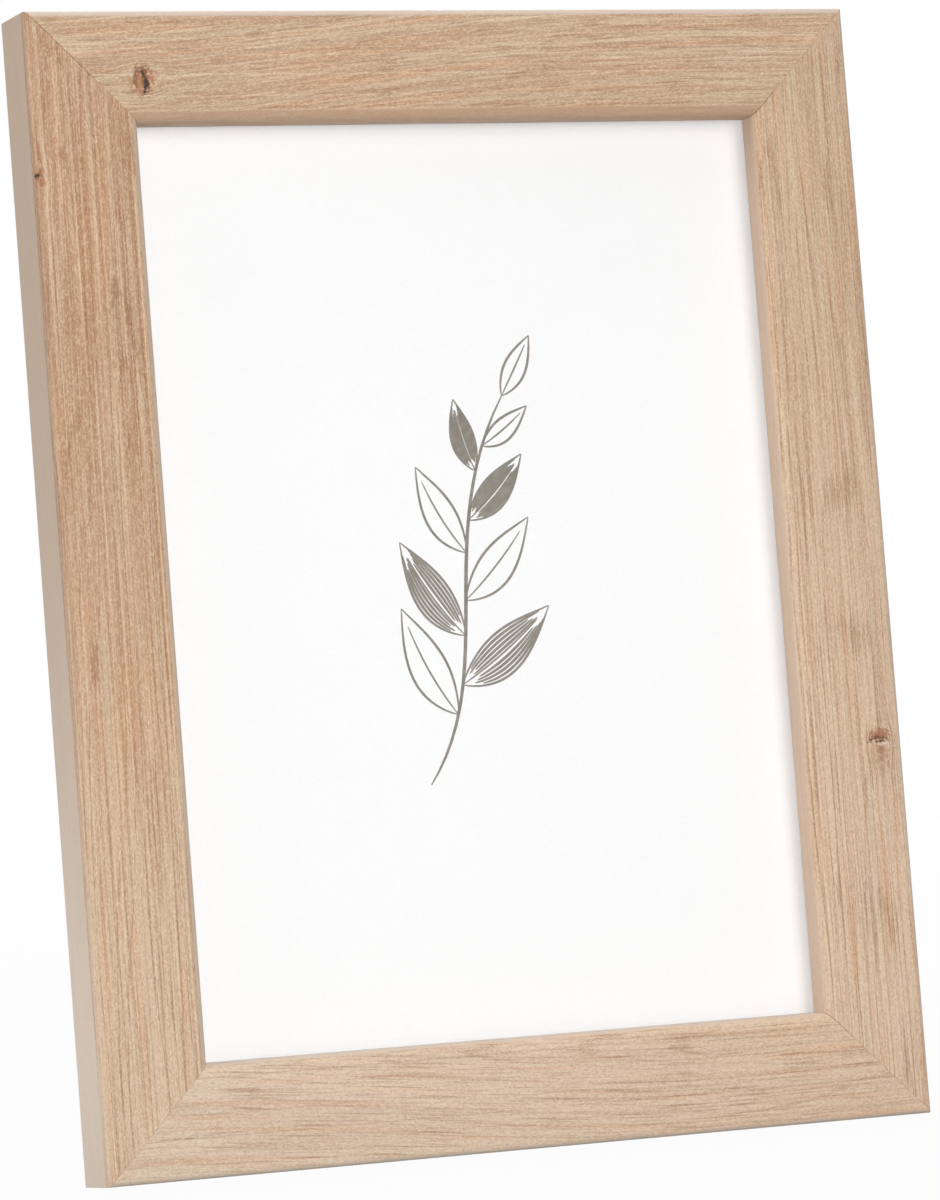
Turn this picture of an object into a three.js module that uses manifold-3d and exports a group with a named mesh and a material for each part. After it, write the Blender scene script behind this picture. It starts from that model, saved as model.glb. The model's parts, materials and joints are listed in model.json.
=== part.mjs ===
// Wooden picture frame for a 15 by 20 cm picture, leaning back on its easel strut.
// Millimetres, +Z up, the picture faces -Y. The origin is under the middle of the frame's footprint.
// Inside the leaning group, x runs to the right, y runs back from the moulding's face, and z runs up from
// the frame's bottom edge.

import * as THREE from 'three';
import { mergeVertices } from 'three/addons/utils/BufferGeometryUtils.js';
import Module from 'manifold-3d';

const wasm = await Module();
wasm.setup();

// Picture and moulding
const PICTURE_WIDTH = 150;
const PICTURE_HEIGHT = 200;
const FACE_WIDTH = 22.4;
const LIP_OVERLAP = 7.4;
const LIP_DEPTH = 5.7;
const OUTER_ARRIS = 1.2;
const SIGHT_ARRIS = 2.5;
const MITRE_GAP = 0.1;
const LEAN = THREE.MathUtils.degToRad(11);

// Sheets in the rebate, front to back
const GLASS_THICKNESS = 2;
const INSERT_THICKNESS = 0.3;
const FILLER_THICKNESS = 2;
const PANEL_THICKNESS = 3;
const SHEET_GAP = 0.25;
const SHEET_PLAY = 0.5;

// V-nails across the mitres, driven in from the back
const NAIL_LEG = 6;
const NAIL_STEEL = 0.7;
const NAIL_DEPTH = 8;
const NAIL_SINK = 0.2;
const NAIL_PLAY = 0.1;
const OUTER_NAIL_INSET = 4;
const INNER_NAIL_INSET = 10;

// Turn buttons and their screws
const BUTTON_PIVOT_INSET = 8;
const BUTTON_STEEL = 1;
const BUTTON_ROOT_RADIUS = 4.5;
const BUTTON_TIP_RADIUS = 3.2;
const BUTTON_REACH = 14;
const RAIL_BUTTON_FROM_CORNER = 40;
const STILE_BUTTON_FROM_CORNER = 60;
const SCREW_RADIUS = 1.3;
const SCREW_LENGTH = 9;
const SCREW_TIP = 2.5;
const SCREW_HEAD_RADIUS = 3.2;
const SCREW_HEAD_HEIGHT = 1.8;
const SCREW_PLAY = 0.2;
const RECESS_SPAN = 3.4;
const RECESS_SLOT = 0.7;
const RECESS_DEPTH = 0.9;

// Strut hinge
const HINGE_DROP = 65;
const LEAF_STEEL = 1;
const LEAF_WIDTH = 36;
const BACK_LEAF_HEIGHT = 24;
const STRUT_LEAF_WIDTH = 30;
const STRUT_LEAF_HEIGHT = 26;
const LEAF_CORNER = 4;
const CENTRE_KNUCKLE = 16;
const KNUCKLE_GAP = 0.3;
const KNUCKLE_CLEARANCE = 0.8;
const PIN_RADIUS = 1.25;
const PIN_PLAY = 0.15;
const PIN_HEAD_RADIUS = 2.1;
const PIN_HEAD_LENGTH = 0.8;
const STOP_WIDTH = 12;
const STOP_LENGTH = 9;

// Easel strut
const STRUT_OPENING = THREE.MathUtils.degToRad(20);
const STRUT_THICKNESS = 3;
const STRUT_TOP_WIDTH = 34;
const STRUT_FOOT_WIDTH = 56;
const STRUT_CORNER = 6;
const FOOT_ARCH_WIDTH = 20;
const FOOT_ARCH_RISE = 6;

// Rivets, headed at the back and clinched in a counterbore at the front
const RIVET_RADIUS = 1.5;
const RIVET_PLAY = 0.15;
const RIVET_HEAD_RADIUS = 2.8;
const RIVET_HEAD_HEIGHT = 1;
const RIVET_TAIL_RADIUS = 2.3;
const RIVET_TAIL_HEIGHT = 0.8;
const RIVET_TAIL_SINK = 0.1;
const BACK_RIVET_INSET = 7;
const BACK_RIVET_RISE = 17;
const STRUT_RIVET_INSET = 6;
const STRUT_RIVET_DROP = 15;

// Wall hanger
const HANGER_DROP = 14;
const STRAP_STEEL = 0.8;
const STRAP_WIDTH = 10;
const STRAP_LENGTH = 15;
const STRAP_CORNER = 3;
const STRAP_RIVET_DROP = 8.5;
const RING_WIRE_RADIUS = 0.8;
const RING_WIRE_PLAY = 0.15;
const RING_WIDTH = 17;
const RING_HEIGHT = 17;
const RING_CORNER = 2.6;
const RING_END_GAP = 0.6;

// Fit of the steel fittings and of the cutting shapes
const SEAT_GAP = 0.2;
const OVERRUN = 1;
const WELD = 1e-4;

// Points per quarter turn of small round shapes
const ARRIS_POINTS = 3;
const ROUND_POINTS = 8;
const TURNED_SIDES = 16;
const RING_SIDES_PER_HALF = 4;
const RING_STEPS = 60;

// Derived sizes
const FRAME_WIDTH = PICTURE_WIDTH + 2 * (FACE_WIDTH - LIP_OVERLAP);
const FRAME_HEIGHT = PICTURE_HEIGHT + 2 * (FACE_WIDTH - LIP_OVERLAP);
const REBATE_INSET = FACE_WIDTH - LIP_OVERLAP - SHEET_PLAY;
const GLASS_FRONT = LIP_DEPTH + SHEET_GAP;
const INSERT_FRONT = GLASS_FRONT + GLASS_THICKNESS + SHEET_GAP;
const FILLER_FRONT = INSERT_FRONT + INSERT_THICKNESS + SHEET_GAP;
const PANEL_FRONT = FILLER_FRONT + FILLER_THICKNESS + SHEET_GAP;
const PANEL_BACK = PANEL_FRONT + PANEL_THICKNESS;
const MOULDING_BACK = PANEL_BACK;
const PANEL_TOP = FACE_WIDTH - LIP_OVERLAP + PICTURE_HEIGHT;
const BUTTON_FRONT = MOULDING_BACK + SEAT_GAP;
const SCREW_SEAT = BUTTON_FRONT + BUTTON_STEEL + SEAT_GAP;
const PIN_BORE = PIN_RADIUS + PIN_PLAY;
const KNUCKLE_RADIUS = PIN_BORE + LEAF_STEEL;
const HINGE_Y = PANEL_BACK + SEAT_GAP + KNUCKLE_RADIUS;
const HINGE_Z = PANEL_TOP - HINGE_DROP;
const STRUT_BACK = KNUCKLE_RADIUS - LEAF_STEEL - SEAT_GAP;
const STRUT_FRONT = STRUT_BACK - STRUT_THICKNESS;
const EYE_BORE = RING_WIRE_RADIUS + RING_WIRE_PLAY;
const EYE_RADIUS = EYE_BORE + STRAP_STEEL;
const HANGER_Y = PANEL_BACK + SEAT_GAP + EYE_RADIUS;
const HANGER_Z = PANEL_TOP - HANGER_DROP;

// Finishes
const OAK = { color: 0xcdaa87, roughness: 0.6, metalness: 0 };
const GLASS = { color: 0xf4f8f7, roughness: 0.05, metalness: 0, transparent: true, opacity: 0.25 };
const PAPER = { color: 0xfafafa, roughness: 0.8, metalness: 0 };
const CARD = { color: 0xb08d62, roughness: 0.9, metalness: 0 };
const HARDBOARD = { color: 0x7a5638, roughness: 0.7, metalness: 0 };
const STEEL = { color: 0xc9ccce, roughness: 0.35, metalness: 1 };

// Closed mesh with shared corners, as a solid that can be cut and joined
function toSolid(geometry) {
  const bare = geometry.clone();
  bare.deleteAttribute('normal');
  bare.deleteAttribute('uv');
  const welded = mergeVertices(bare, WELD);
  const corners = welded.index.array;
  const kept = [];
  for (let i = 0; i < corners.length; i += 3) {
    const [a, b, c] = corners.slice(i, i + 3);
    if (a !== b && b !== c && c !== a) {
      kept.push(a, b, c);
    }
  }
  const mesh = new wasm.Mesh({
    numProp: 3,
    vertProperties: new Float32Array(welded.getAttribute('position').array),
    triVerts: new Uint32Array(kept),
  });
  return new wasm.Manifold(mesh);
}

function toGeometry(solid) {
  const mesh = solid.getMesh();
  const geometry = new THREE.BufferGeometry();
  geometry.setAttribute('position', new THREE.BufferAttribute(mesh.vertProperties, 3));
  geometry.setIndex(new THREE.BufferAttribute(mesh.triVerts, 1));
  geometry.computeVertexNormals();
  return geometry;
}

function cut(geometry, cutters) {
  let solid = toSolid(geometry);
  for (const cutter of cutters) {
    solid = solid.subtract(toSolid(cutter));
  }
  return toGeometry(solid);
}

function join(geometries) {
  let solid = toSolid(geometries[0]);
  for (const geometry of geometries.slice(1)) {
    solid = solid.add(toSolid(geometry));
  }
  return toGeometry(solid);
}

function piece(name, geometry, finish) {
  const mesh = new THREE.Mesh(geometry, new THREE.MeshStandardMaterial(finish));
  mesh.name = name;
  return mesh;
}

// Outline drawn in x and z, made into a plate between two depths
function plate(outline, front, back) {
  const options = { depth: back - front, bevelEnabled: false, curveSegments: ROUND_POINTS };
  const geometry = new THREE.ExtrudeGeometry(outline, options);
  geometry.rotateX(Math.PI / 2);
  geometry.translate(0, back, 0);
  return geometry;
}

// Outline drawn in y and z, made into a bar along x
function bar(outline, from, to) {
  const options = { depth: to - from, bevelEnabled: false, curveSegments: ROUND_POINTS };
  const geometry = new THREE.ExtrudeGeometry(outline, options);
  const alongX = new THREE.Matrix4().makeBasis(
    new THREE.Vector3(0, 1, 0),
    new THREE.Vector3(0, 0, 1),
    new THREE.Vector3(1, 0, 0),
  );
  geometry.applyMatrix4(alongX);
  geometry.translate(from, 0, 0);
  return geometry;
}

// Rolled eye of a hinge leaf or strap, round the x axis
function eye(bore, radius, from, to) {
  const ring = new THREE.Shape();
  ring.absarc(0, 0, radius, 0, 2 * Math.PI, false);
  const hole = new THREE.Path();
  hole.absarc(0, 0, bore, 0, 2 * Math.PI, true);
  ring.holes.push(hole);
  return bar(ring, from, to);
}

// Round hole along y, at a place in x and z
function drill(radius, x, z, front, back) {
  const geometry = new THREE.CylinderGeometry(radius, radius, back - front, TURNED_SIDES);
  geometry.translate(x, (front + back) / 2, z);
  return geometry;
}

function block(left, right, front, back, low, high) {
  const geometry = new THREE.BoxGeometry(right - left, back - front, high - low);
  geometry.translate((left + right) / 2, (front + back) / 2, (low + high) / 2);
  return geometry;
}

// Section of the moulding: across is measured from the outer edge, the second number from the face
function mouldingSection() {
  const section = new THREE.Shape();
  section.moveTo(0, MOULDING_BACK);
  section.lineTo(0, OUTER_ARRIS);
  section.absarc(OUTER_ARRIS, OUTER_ARRIS, OUTER_ARRIS, Math.PI, 1.5 * Math.PI, false);
  section.lineTo(FACE_WIDTH - SIGHT_ARRIS, 0);
  section.absarc(FACE_WIDTH - SIGHT_ARRIS, SIGHT_ARRIS, SIGHT_ARRIS, 1.5 * Math.PI, 2 * Math.PI, false);
  section.lineTo(FACE_WIDTH, LIP_DEPTH);
  section.lineTo(REBATE_INSET, LIP_DEPTH);
  section.lineTo(REBATE_INSET, MOULDING_BACK);
  section.closePath();
  return section;
}

// Member lying along x below the frame's centre, with both ends cut back at 45 degrees
function mitredMember(length, span) {
  const options = { depth: length, bevelEnabled: false, curveSegments: ARRIS_POINTS };
  const geometry = new THREE.ExtrudeGeometry(mouldingSection(), options);
  const position = geometry.getAttribute('position');
  for (let i = 0; i < position.count; i += 1) {
    const across = position.getX(i);
    const fromCorner = across + MITRE_GAP * Math.SQRT1_2;
    const along = position.getZ(i) < length / 2 ? fromCorner : length - fromCorner;
    position.setXYZ(i, length / 2 - along, position.getY(i), across - span / 2);
  }
  return geometry;
}

// V seen from behind, its corner inset from both outer edges of the lower right corner of the frame
function nailBody(inset, play, front, back) {
  const near = -play;
  const steel = NAIL_STEEL + play;
  const leg = NAIL_LEG + play;
  const vee = new THREE.Shape();
  vee.moveTo(-inset - near, inset + near);
  vee.lineTo(-inset - near, inset + leg);
  vee.lineTo(-inset - steel, inset + leg);
  vee.lineTo(-inset - steel, inset + steel);
  vee.lineTo(-inset - leg, inset + steel);
  vee.lineTo(-inset - leg, inset + near);
  vee.closePath();
  return plate(vee, front, back);
}

const NAIL_BACK = MOULDING_BACK - NAIL_SINK;
const NAIL_FRONT = NAIL_BACK - NAIL_DEPTH;

function nailSlots(length, span) {
  const slots = [];
  for (const inset of [OUTER_NAIL_INSET, INNER_NAIL_INSET]) {
    const right = nailBody(inset, NAIL_PLAY, NAIL_FRONT - NAIL_PLAY, MOULDING_BACK + OVERRUN);
    const left = right.clone();
    left.rotateY(Math.PI / 2);
    right.translate(length / 2, 0, -span / 2);
    left.translate(-length / 2, 0, -span / 2);
    slots.push(right, left);
  }
  return slots;
}

function moulding(length, span, buttonSpread) {
  const pivotZ = BUTTON_PIVOT_INSET - span / 2;
  const pilotFront = SCREW_SEAT - SCREW_LENGTH - SCREW_PLAY;
  const pilotRadius = SCREW_RADIUS + SCREW_PLAY;
  const pilots = [-buttonSpread, buttonSpread].map(
    (x) => drill(pilotRadius, x, pivotZ, pilotFront, MOULDING_BACK + OVERRUN),
  );
  return cut(mitredMember(length, span), [...nailSlots(length, span), ...pilots]);
}

// Stamped tongue, wide at the screw and narrower at the tip, which points up from the pivot
function turnButton() {
  const tipCentre = BUTTON_REACH - BUTTON_TIP_RADIUS;
  const taper = Math.asin((BUTTON_ROOT_RADIUS - BUTTON_TIP_RADIUS) / tipCentre);
  const outline = new THREE.Shape();
  outline.absarc(0, tipCentre, BUTTON_TIP_RADIUS, taper, Math.PI - taper, false);
  outline.absarc(0, 0, BUTTON_ROOT_RADIUS, Math.PI - taper, 2 * Math.PI + taper, false);
  outline.closePath();
  const hole = new THREE.Path();
  hole.absarc(0, 0, SCREW_RADIUS + SCREW_PLAY, 0, 2 * Math.PI, true);
  outline.holes.push(hole);
  return plate(outline, BUTTON_FRONT, BUTTON_FRONT + BUTTON_STEEL);
}

// Cross recess of a screw head
function crossRecess(front, back) {
  const arm = RECESS_SPAN / 2;
  const slot = RECESS_SLOT / 2;
  const cross = new THREE.Shape();
  cross.moveTo(arm, slot);
  for (const [x, z] of [[slot, slot], [slot, arm], [-slot, arm], [-slot, slot], [-arm, slot], [-arm, -slot],
    [-slot, -slot], [-slot, -arm], [slot, -arm], [slot, -slot], [arm, -slot]]) {
    cross.lineTo(x, z);
  }
  cross.closePath();
  return plate(cross, front, back);
}

// Quarter-ellipse crown from the rim of a head to its top
function crown(radius, base, height) {
  const points = [];
  for (let step = 1; step <= ARRIS_POINTS + 1; step += 1) {
    const angle = (step / (ARRIS_POINTS + 1)) * (Math.PI / 2);
    points.push(new THREE.Vector2(radius * Math.cos(angle), base + height * Math.sin(angle)));
  }
  points[points.length - 1].x = 0;
  return points;
}

function turnScrew() {
  const tip = SCREW_SEAT - SCREW_LENGTH;
  const rim = SCREW_SEAT + SCREW_HEAD_HEIGHT / 3;
  const top = SCREW_SEAT + SCREW_HEAD_HEIGHT;
  const body = new THREE.LatheGeometry([
    new THREE.Vector2(0, tip),
    new THREE.Vector2(SCREW_RADIUS, tip + SCREW_TIP),
    new THREE.Vector2(SCREW_RADIUS, SCREW_SEAT),
    new THREE.Vector2(SCREW_HEAD_RADIUS, SCREW_SEAT),
    new THREE.Vector2(SCREW_HEAD_RADIUS, rim),
    ...crown(SCREW_HEAD_RADIUS, rim, top - rim),
  ], TURNED_SIDES);
  return cut(body, [crossRecess(top - RECESS_DEPTH, top + OVERRUN)]);
}

// Rivet through a steel sheet and the board in front of it
function rivet(boardFront, sheetBack) {
  const tail = boardFront + RIVET_TAIL_SINK;
  const flange = tail + RIVET_TAIL_HEIGHT;
  const seat = sheetBack + SEAT_GAP;
  return new THREE.LatheGeometry([
    new THREE.Vector2(0, tail),
    new THREE.Vector2(RIVET_TAIL_RADIUS, tail),
    new THREE.Vector2(RIVET_TAIL_RADIUS, flange),
    new THREE.Vector2(RIVET_RADIUS, flange),
    new THREE.Vector2(RIVET_RADIUS, seat),
    new THREE.Vector2(RIVET_HEAD_RADIUS, seat),
    ...crown(RIVET_HEAD_RADIUS, seat, RIVET_HEAD_HEIGHT),
  ], TURNED_SIDES);
}

function rivetHole(x, z, boardFront, boardBack) {
  const counterbore = boardFront + RIVET_TAIL_SINK + RIVET_TAIL_HEIGHT + SEAT_GAP;
  return [
    drill(RIVET_RADIUS + RIVET_PLAY, x, z, boardFront - OVERRUN, boardBack + OVERRUN),
    drill(RIVET_TAIL_RADIUS + RIVET_PLAY, x, z, boardFront - OVERRUN, counterbore),
  ];
}

function sheet(front, thickness) {
  const low = FACE_WIDTH - LIP_OVERLAP;
  const half = PICTURE_WIDTH / 2;
  return block(-half, half, front, front + thickness, low, low + PICTURE_HEIGHT);
}

const BACK_RIVETS = [BACK_RIVET_INSET - LEAF_WIDTH / 2, LEAF_WIDTH / 2 - BACK_RIVET_INSET];
const STRUT_RIVETS = [STRUT_RIVET_INSET - STRUT_LEAF_WIDTH / 2, STRUT_LEAF_WIDTH / 2 - STRUT_RIVET_INSET];

function backPanel() {
  const holes = BACK_RIVETS.flatMap((x) => rivetHole(x, HINGE_Z + BACK_RIVET_RISE, PANEL_FRONT, PANEL_BACK));
  holes.push(...rivetHole(0, HANGER_Z - STRAP_RIVET_DROP, PANEL_FRONT, PANEL_BACK));
  return cut(sheet(PANEL_FRONT, PANEL_THICKNESS), holes);
}

function rivetHoleInSheet(outline, x, z) {
  const hole = new THREE.Path();
  hole.absarc(x, z, RIVET_RADIUS + RIVET_PLAY, 0, 2 * Math.PI, true);
  outline.holes.push(hole);
}

// Leaf on the back panel, with an outer eye at each side of the strut's eye. The pin's axis is at its origin.
function backLeaf() {
  const half = LEAF_WIDTH / 2;
  const notch = CENTRE_KNUCKLE / 2 + KNUCKLE_GAP;
  const notchTop = KNUCKLE_RADIUS + KNUCKLE_CLEARANCE;
  const top = BACK_LEAF_HEIGHT;
  const outline = new THREE.Shape();
  outline.moveTo(notch, 0);
  outline.lineTo(half, 0);
  outline.lineTo(half, top - LEAF_CORNER);
  outline.absarc(half - LEAF_CORNER, top - LEAF_CORNER, LEAF_CORNER, 0, Math.PI / 2, false);
  outline.absarc(LEAF_CORNER - half, top - LEAF_CORNER, LEAF_CORNER, Math.PI / 2, Math.PI, false);
  outline.lineTo(-half, 0);
  outline.lineTo(-notch, 0);
  outline.lineTo(-notch, notchTop);
  outline.lineTo(notch, notchTop);
  outline.closePath();
  for (const x of BACK_RIVETS) {
    rivetHoleInSheet(outline, x, BACK_RIVET_RISE);
  }
  return join([
    plate(outline, -KNUCKLE_RADIUS, LEAF_STEEL - KNUCKLE_RADIUS),
    eye(PIN_BORE, KNUCKLE_RADIUS, -half, -notch),
    eye(PIN_BORE, KNUCKLE_RADIUS, notch, half),
  ]);
}

// Leaf on the strut, drawn folded down, with the centre eye and the stop that meets the back leaf when open
function strutLeaf() {
  const half = STRUT_LEAF_WIDTH / 2;
  const neck = CENTRE_KNUCKLE / 2;
  const shoulder = -KNUCKLE_RADIUS - KNUCKLE_CLEARANCE;
  const low = -STRUT_LEAF_HEIGHT;
  const outline = new THREE.Shape();
  outline.moveTo(neck, 0);
  outline.lineTo(-neck, 0);
  outline.lineTo(-neck, shoulder);
  outline.lineTo(-half, shoulder);
  outline.absarc(LEAF_CORNER - half, low + LEAF_CORNER, LEAF_CORNER, Math.PI, 1.5 * Math.PI, false);
  outline.absarc(half - LEAF_CORNER, low + LEAF_CORNER, LEAF_CORNER, 1.5 * Math.PI, 2 * Math.PI, false);
  outline.lineTo(half, shoulder);
  outline.lineTo(neck, shoulder);
  outline.closePath();
  for (const x of STRUT_RIVETS) {
    rivetHoleInSheet(outline, x, -STRUT_RIVET_DROP);
  }
  const stopFront = LEAF_STEEL - KNUCKLE_RADIUS + SEAT_GAP;
  const stopRoot = PIN_BORE + LEAF_STEEL / 2;
  const stop = block(-STOP_WIDTH / 2, STOP_WIDTH / 2, stopFront, stopFront + LEAF_STEEL, stopRoot, STOP_LENGTH);
  stop.rotateX(-STRUT_OPENING);
  return join([
    plate(outline, KNUCKLE_RADIUS - LEAF_STEEL, KNUCKLE_RADIUS),
    eye(PIN_BORE, KNUCKLE_RADIUS, -neck, neck),
    stop,
  ]);
}

// Pin along x with a peened head at each end
function hingePin() {
  const shoulder = LEAF_WIDTH / 2 + KNUCKLE_GAP;
  const end = shoulder + PIN_HEAD_LENGTH;
  const geometry = new THREE.LatheGeometry([
    new THREE.Vector2(0, -end),
    new THREE.Vector2(PIN_HEAD_RADIUS, -end),
    new THREE.Vector2(PIN_HEAD_RADIUS, -shoulder),
    new THREE.Vector2(PIN_RADIUS, -shoulder),
    new THREE.Vector2(PIN_RADIUS, shoulder),
    new THREE.Vector2(PIN_HEAD_RADIUS, shoulder),
    new THREE.Vector2(PIN_HEAD_RADIUS, end),
    new THREE.Vector2(0, end),
  ], TURNED_SIDES);
  geometry.rotateZ(-Math.PI / 2);
  return geometry;
}

// Height of the foot in the strut's own frame, at a depth y, where it meets the table
function footLevel(y) {
  const pinHeight = HINGE_Z * Math.cos(LEAN) - (HINGE_Y - MOULDING_BACK) * Math.sin(LEAN);
  const slope = STRUT_OPENING - LEAN;
  return -(pinHeight + y * Math.sin(slope)) / Math.cos(slope);
}

// Tapered board below the pin, drawn folded down, with an arch in the foot and the foot bevelled to the table
function easelStrut() {
  const top = -KNUCKLE_RADIUS - KNUCKLE_CLEARANCE;
  const foot = footLevel(STRUT_BACK);
  const halfTop = STRUT_TOP_WIDTH / 2;
  const halfFoot = STRUT_FOOT_WIDTH / 2;
  const halfArch = FOOT_ARCH_WIDTH / 2;
  const outline = new THREE.Shape();
  outline.moveTo(-halfFoot, foot);
  outline.lineTo(-halfArch, foot);
  outline.quadraticCurveTo(0, foot + 2 * FOOT_ARCH_RISE, halfArch, foot);
  outline.lineTo(halfFoot, foot);
  outline.lineTo(halfTop, top - STRUT_CORNER);
  outline.quadraticCurveTo(halfTop, top, halfTop - STRUT_CORNER, top);
  outline.lineTo(STRUT_CORNER - halfTop, top);
  outline.quadraticCurveTo(-halfTop, top, -halfTop, top - STRUT_CORNER);
  outline.closePath();
  const board = plate(outline, STRUT_FRONT, STRUT_BACK);
  const position = board.getAttribute('position');
  for (let i = 0; i < position.count; i += 1) {
    if (position.getZ(i) < foot + WELD) {
      position.setZ(i, footLevel(position.getY(i)));
    }
  }
  return cut(board, STRUT_RIVETS.flatMap((x) => rivetHole(x, -STRUT_RIVET_DROP, STRUT_FRONT, STRUT_BACK)));
}

// Strap folded round the ring's bar. The bar's axis is at its origin.
function hangerStrap() {
  const half = STRAP_WIDTH / 2;
  const low = -STRAP_LENGTH;
  const outline = new THREE.Shape();
  outline.moveTo(half, 0);
  outline.lineTo(-half, 0);
  outline.absarc(STRAP_CORNER - half, low + STRAP_CORNER, STRAP_CORNER, Math.PI, 1.5 * Math.PI, false);
  outline.absarc(half - STRAP_CORNER, low + STRAP_CORNER, STRAP_CORNER, 1.5 * Math.PI, 2 * Math.PI, false);
  outline.closePath();
  rivetHoleInSheet(outline, 0, -STRAP_RIVET_DROP);
  return join([
    plate(outline, -EYE_RADIUS, STRAP_STEEL - EYE_RADIUS),
    eye(EYE_BORE, EYE_RADIUS, -half, half),
  ]);
}

// Triangle of bent wire hanging from its bar, with its two ends meeting inside the strap
function hangerRing() {
  const wirePoint = (x, z) => new THREE.Vector3(x, 0, z);
  const right = wirePoint(RING_WIDTH / 2, 0);
  const left = wirePoint(-RING_WIDTH / 2, 0);
  const tip = wirePoint(0, -RING_HEIGHT);
  const start = wirePoint(RING_END_GAP / 2, 0);
  const end = wirePoint(-RING_END_GAP / 2, 0);
  const path = new THREE.CurvePath();
  let reached = start;
  for (const [corner, next] of [[right, tip], [tip, left], [left, end]]) {
    const before = corner.clone().sub(reached).setLength(RING_CORNER);
    const after = next.clone().sub(corner).setLength(RING_CORNER);
    const bendStart = corner.clone().sub(before);
    const bendEnd = corner.clone().add(after);
    path.add(new THREE.LineCurve3(reached, bendStart));
    path.add(new THREE.QuadraticBezierCurve3(bendStart, corner, bendEnd));
    reached = bendEnd;
  }
  path.add(new THREE.LineCurve3(reached, end));
  const wire = new THREE.Shape();
  wire.absarc(0, 0, RING_WIRE_RADIUS, 0, 2 * Math.PI, false);
  const options = { steps: RING_STEPS, extrudePath: path, curveSegments: RING_SIDES_PER_HALF };
  return new THREE.ExtrudeGeometry(wire, options);
}

// Each side of the frame, drawn as the bottom rail and turned about the frame's centre. The end names belong
// to the button at each end, first the one that the bottom rail has at its right.
const RAIL = { length: FRAME_WIDTH, span: FRAME_HEIGHT, fromCorner: RAIL_BUTTON_FROM_CORNER };
const STILE = { length: FRAME_HEIGHT, span: FRAME_WIDTH, fromCorner: STILE_BUTTON_FROM_CORNER };
const SIDES = [
  { name: 'bottom_rail', size: RAIL, turn: 0, ends: ['bottom_right', 'bottom_left'] },
  { name: 'left_stile', size: STILE, turn: Math.PI / 2, ends: ['left_lower', 'left_upper'] },
  { name: 'top_rail', size: RAIL, turn: Math.PI, ends: ['top_left', 'top_right'] },
  { name: 'right_stile', size: STILE, turn: -Math.PI / 2, ends: ['right_upper', 'right_lower'] },
];

const CORNERS = [
  { name: 'bottom_right', x: FRAME_WIDTH / 2, z: 0, turn: 0 },
  { name: 'bottom_left', x: -FRAME_WIDTH / 2, z: 0, turn: Math.PI / 2 },
  { name: 'top_left', x: -FRAME_WIDTH / 2, z: FRAME_HEIGHT, turn: Math.PI },
  { name: 'top_right', x: FRAME_WIDTH / 2, z: FRAME_HEIGHT, turn: -Math.PI / 2 },
];

function frameSide({ name, size, turn, ends }) {
  const side = new THREE.Group();
  const spread = size.length / 2 - size.fromCorner;
  side.add(piece(name, moulding(size.length, size.span, spread), OAK));
  ends.forEach((end, index) => {
    const button = piece(`turn_button_${end}`, turnButton(), STEEL);
    const screw = piece(`turn_screw_${end}`, turnScrew(), STEEL);
    for (const fitting of [button, screw]) {
      fitting.position.set(index === 0 ? spread : -spread, 0, BUTTON_PIVOT_INSET - size.span / 2);
      side.add(fitting);
    }
  });
  side.position.z = FRAME_HEIGHT / 2;
  side.rotation.y = turn;
  return side;
}

function cornerNails({ name, x, z, turn }) {
  const corner = new THREE.Group();
  const insets = { outer: OUTER_NAIL_INSET, inner: INNER_NAIL_INSET };
  for (const [place, inset] of Object.entries(insets)) {
    corner.add(piece(`v_nail_${name}_${place}`, nailBody(inset, 0, NAIL_FRONT, NAIL_BACK), STEEL));
  }
  corner.position.set(x, 0, z);
  corner.rotation.y = turn;
  return corner;
}

function strutAssembly() {
  const strut = new THREE.Group();
  strut.add(piece('easel_strut', easelStrut(), HARDBOARD));
  strut.add(piece('hinge_strut_leaf', strutLeaf(), STEEL));
  STRUT_RIVETS.forEach((x) => {
    const side = x < 0 ? 'left' : 'right';
    const fixing = piece(`strut_leaf_rivet_${side}`, rivet(STRUT_FRONT, KNUCKLE_RADIUS), STEEL);
    fixing.position.set(x, 0, -STRUT_RIVET_DROP);
    strut.add(fixing);
  });
  strut.rotation.x = STRUT_OPENING;
  return strut;
}

function hingeAssembly() {
  const hinge = new THREE.Group();
  const boardFront = PANEL_FRONT - HINGE_Y;
  const sheetBack = LEAF_STEEL - KNUCKLE_RADIUS;
  hinge.add(piece('hinge_back_leaf', backLeaf(), STEEL));
  hinge.add(piece('hinge_pin', hingePin(), STEEL));
  BACK_RIVETS.forEach((x) => {
    const side = x < 0 ? 'left' : 'right';
    const fixing = piece(`back_leaf_rivet_${side}`, rivet(boardFront, sheetBack), STEEL);
    fixing.position.set(x, 0, BACK_RIVET_RISE);
    hinge.add(fixing);
  });
  hinge.add(strutAssembly());
  hinge.position.set(0, HINGE_Y, HINGE_Z);
  return hinge;
}

// The ring hangs plumb while the strap leans with the frame
function hangerAssembly() {
  const hanger = new THREE.Group();
  const fixing = piece('hanger_rivet', rivet(PANEL_FRONT - HANGER_Y, STRAP_STEEL - EYE_RADIUS), STEEL);
  const ring = piece('hanger_ring', hangerRing(), STEEL);
  fixing.position.z = -STRAP_RIVET_DROP;
  ring.rotation.x = LEAN;
  hanger.add(piece('hanger_strap', hangerStrap(), STEEL), fixing, ring);
  hanger.position.set(0, HANGER_Y, HANGER_Z);
  return hanger;
}

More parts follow.
